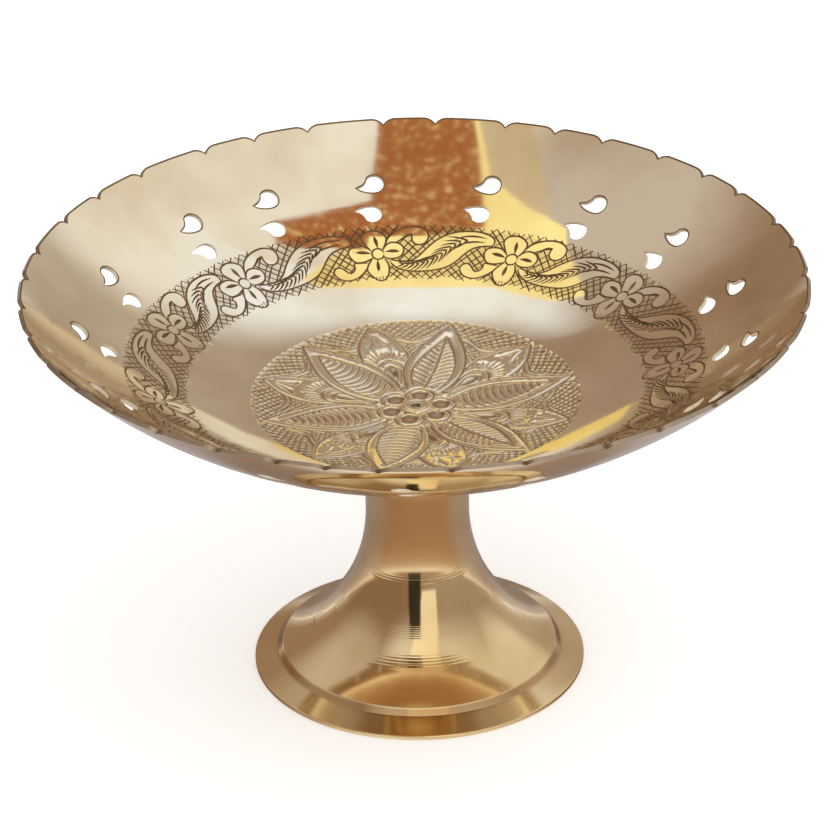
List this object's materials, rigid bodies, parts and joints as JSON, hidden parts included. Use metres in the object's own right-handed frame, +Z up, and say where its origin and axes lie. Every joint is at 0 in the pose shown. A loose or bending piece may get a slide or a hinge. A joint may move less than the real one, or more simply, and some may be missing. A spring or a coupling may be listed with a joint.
{
  "type": "footed serving dish",
  "caption": "Round serving dish of thin brass with a scalloped edge, pierced drops and chased flowers, bolted to a hollow trumpet foot.",
  "frame": {"origin": "centre of the foot's base ring, on the surface that the dish stands on", "axes": "+Z up along the axis of the spun dish and the turned foot; X and Y are level, with no natural front"},
  "size_m": [0.203, 0.203, 0.1117],
  "materials": {
    "spun_brass": "polished sheet, chased lines darkened",
    "turned_brass": "turned and polished, faint lathe rings",
    "stud_brass": "polished, dimple darkened",
    "plated_steel": "zinc plated"
  },
  "bodies": {
    "root": {"dish": "spun_brass", "foot": "turned_brass", "centre_stud": "stud_brass", "washer": "plated_steel", "hex_nut": "plated_steel"}
  },
  "joints": []
}
